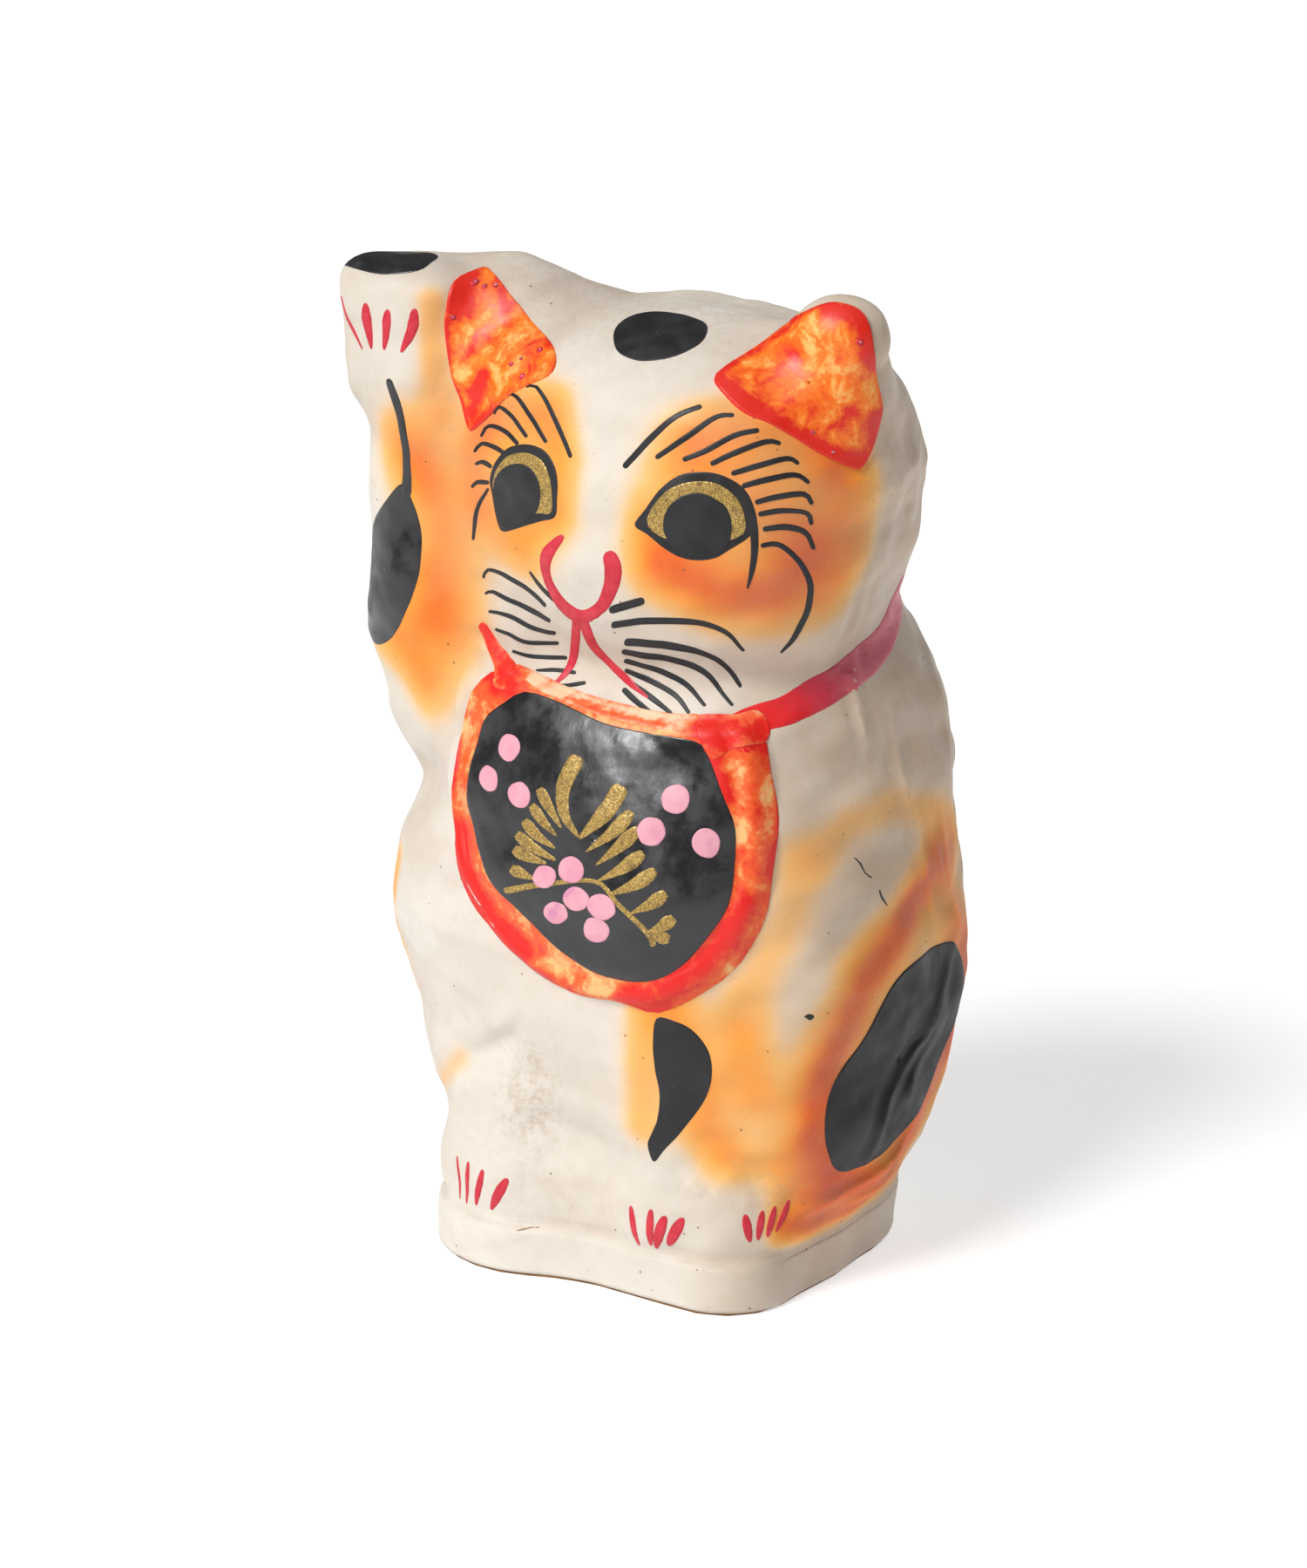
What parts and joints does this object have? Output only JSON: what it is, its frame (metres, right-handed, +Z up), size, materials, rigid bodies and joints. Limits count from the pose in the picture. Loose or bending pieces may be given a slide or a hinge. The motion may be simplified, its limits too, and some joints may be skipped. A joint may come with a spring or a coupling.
{
  "type": "beckoning cat figurine",
  "caption": "Hollow moulded-paper figurine of a sitting cat with a raised foreleg, closed by a card floor and weighted with clay, for standing on a shelf.",
  "frame": {"origin": "on the underside of the card floor, below the middle of the cat's body", "axes": "+Z up, the cat faces -Y, its own left side is +X"},
  "size_m": [0.1469, 0.1158, 0.2402],
  "materials": {
    "painted_paper": "chalk ground with hand-painted and sprayed colours, matte to satin",
    "raw_paper": "brown pasted paper, matte",
    "raw_card": "raw brown card, matte",
    "dried_clay": "unfired dried clay, matte"
  },
  "bodies": {
    "root": {"front_shell": "painted_paper", "rear_shell": "painted_paper", "seam_strip_left": "raw_paper", "seam_strip_right": "raw_paper", "seam_strip_crown": "raw_paper", "base_board": "raw_card", "base_strip": "painted_paper", "clay_weight": "dried_clay"}
  },
  "joints": []
}
